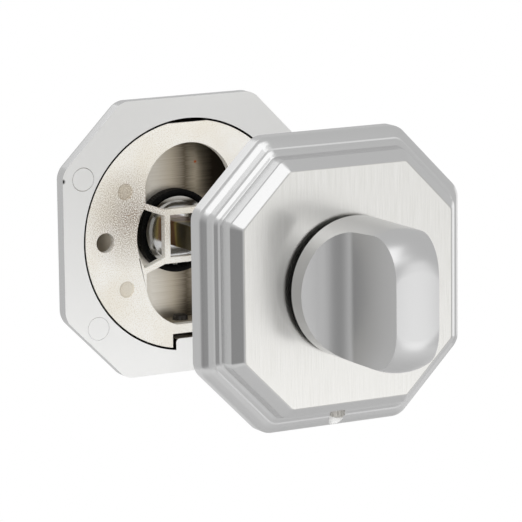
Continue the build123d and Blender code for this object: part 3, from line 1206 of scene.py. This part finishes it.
# %% Lamps
LIGHT_DISTANCE = 0.9
MIDDLE = Vector((0, 20 * MM, 0))
LAMPS = {  # direction, width and height in metres, and how bright it looks, where 1 is white
    "softbox_right": ((0.425, -0.796, -0.43), 0.44, 0.45, 1.6),
    "softbox_right_upper": ((0.47, -0.88, 0.061), 0.44, 0.45, 0.98),
    "softbox_far_right": ((0.88, 0.45, -0.08), 0.36, 0.36, 1.15),
    "softbox_left": ((-0.27, -0.53, 0.76), 0.8, 0.7, 1.7),
    "softbox_above": ((0.12, -0.85, 0.5), 0.4, 0.3, 0.82),
    "softbox_behind": ((-0.28, 0.72, 0.63), 0.6, 0.4, 1.2),
    "fill": ((-0.6, -0.75, 0.15), 0.5, 0.5, 12.5),
}

for name, (direction, wide, tall, glow) in LAMPS.items():
    data = bpy.data.lights.new(name, "AREA")
    data.shape = "RECTANGLE"
    data.size, data.size_y = wide, tall
    data.energy = glow * wide * tall * 4 / math.pi
    lamp = bpy.data.objects.new(name, data)
    bpy.context.scene.collection.objects.link(lamp)
    towards = Vector(direction).normalized()
    lamp.location = MIDDLE + towards * LIGHT_DISTANCE
    lamp.rotation_mode = "QUATERNION"
    lamp.rotation_quaternion = towards.to_track_quat("Z", "Y")
    lamp.visible_glossy = name != "fill"
print("lamps", len(LAMPS))

# %% [markdown]
# The room itself is an even grey, darker at the left, where a dark card would stand in a studio.
# It gives the left bevels their shade. The camera sees white instead, through Light Path.

# %% Room
ROOM_LEVEL, CARD_LEVEL = 0.57, 0.27
CARD_EDGE, CARD_CORE = 0.76, 0.99  # cosines of the angle from the card's middle
DARK_SIDE = Vector((-0.93, -0.33, -0.18)).normalized()

world = bpy.data.worlds.new("room")
bpy.context.scene.world = world
world.use_nodes = True
tree = world.node_tree
room = tree.nodes["Background"]
way = add(tree, "ShaderNodeTexCoord").outputs["Generated"]
facing = add(
    tree, "ShaderNodeVectorMath", {"operation": "DOT_PRODUCT", 1: DARK_SIDE}, {0: way}
)
shade = add(
    tree,
    "ShaderNodeMapRange",
    {"From Min": CARD_EDGE, "From Max": CARD_CORE, "To Min": ROOM_LEVEL, "To Max": CARD_LEVEL},
    {"Value": facing.outputs["Value"]},
)
tree.links.new(shade.outputs["Result"], room.inputs["Color"])
backdrop = add(tree, "ShaderNodeBackground", {"Color": (1, 1, 1, 1), "Strength": 1.0})
rays = add(tree, "ShaderNodeLightPath")
mix = add(
    tree,
    "ShaderNodeMixShader",
    None,
    {
        0: rays.outputs["Is Camera Ray"],
        1: room.outputs["Background"],
        2: backdrop.outputs["Background"],
    },
)
tree.links.new(mix.outputs["Shader"], tree.nodes["World Output"].inputs["Surface"])
print("room level", ROOM_LEVEL, "card level", CARD_LEVEL)

# %% [markdown]
# The set hangs in the air, as in the photograph, over a sheet of white paper that takes its soft
# shadow. Towards its rim the paper fades into the white backdrop, so no edge shows. Mirrors see
# half of that white, which keeps the undersides from going dark or glaring.

# %% Floor
FLOOR_HEIGHT = -120 * MM
FLOOR_RADIUS = 0.2
FLOOR_SIDES = 96
FADE_START, FADE_END = 0.07, 0.19
MIRRORED_SHARE = 0.5

bpy.ops.object.select_all(action="DESELECT")
bpy.ops.mesh.primitive_circle_add(
    vertices=FLOOR_SIDES,
    radius=FLOOR_RADIUS,
    fill_type="NGON",
    location=(0, MIDDLE.y, FLOOR_HEIGHT),
)
floor = bpy.context.object
floor.name = "floor"
paper, tree, shader, place = material("white_paper", "#DCDCDC", 0.0, 0.9)
spread = add(tree, "ShaderNodeVectorMath", {"operation": "LENGTH"}, {0: place})
fade = add(
    tree,
    "ShaderNodeMapRange",
    {"From Min": FADE_START, "From Max": FADE_END, "To Min": 0.0, "To Max": 1.0},
    {"Value": spread.outputs["Value"]},
)
rays = add(tree, "ShaderNodeLightPath")
seen = add(
    tree,
    "ShaderNodeMath",
    {"operation": "MULTIPLY_ADD", 1: MIRRORED_SHARE},
    {0: rays.outputs["Is Glossy Ray"], 2: rays.outputs["Is Camera Ray"]},
)
white = add(
    tree,
    "ShaderNodeMath",
    {"operation": "MULTIPLY"},
    {0: fade.outputs["Result"], 1: seen.outputs["Value"]},
)
glow = add(tree, "ShaderNodeEmission", {"Color": (1, 1, 1, 1), "Strength": 1.0})
mix = add(
    tree,
    "ShaderNodeMixShader",
    None,
    {0: white.outputs["Value"], 1: shader.outputs["BSDF"], 2: glow.outputs["Emission"]},
)
tree.links.new(mix.outputs["Shader"], tree.nodes["Material Output"].inputs["Surface"])
floor.data.materials.append(paper)
bpy.context.scene.view_settings.view_transform = "Standard"
print("floor", FLOOR_RADIUS * 2, "m wide")
